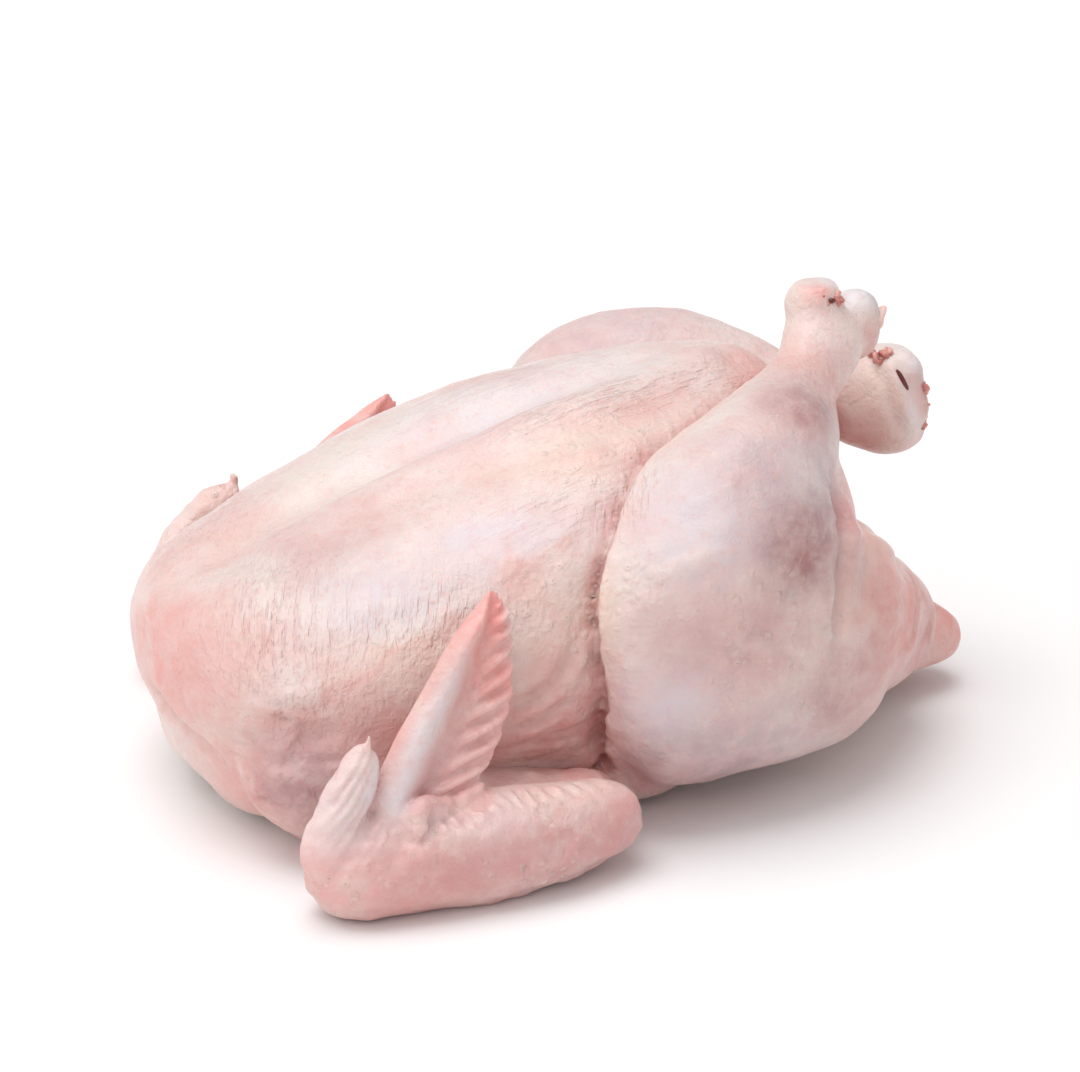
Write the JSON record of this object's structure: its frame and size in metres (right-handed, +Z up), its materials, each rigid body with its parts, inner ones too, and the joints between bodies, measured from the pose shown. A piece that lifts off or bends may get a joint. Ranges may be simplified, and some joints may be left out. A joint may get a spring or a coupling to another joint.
{
  "type": "whole raw chicken",
  "caption": "Whole plucked and dressed raw chicken lying on its back, breast up, with folded wings, trimmed drumsticks and an open body cavity at the tail end.",
  "frame": {"origin": "on the surface that the bird rests on, under the middle of its bounding box", "axes": "+X from the neck end towards the tail, +Z up through the breast, -Y the side of the raised drumstick that shows in the picture"},
  "size_m": [0.2458, 0.2018, 0.131],
  "materials": {
    "raw_skin": "moist, satin"
  },
  "bodies": {
    "root": {"chicken": "raw_skin"}
  },
  "joints": []
}
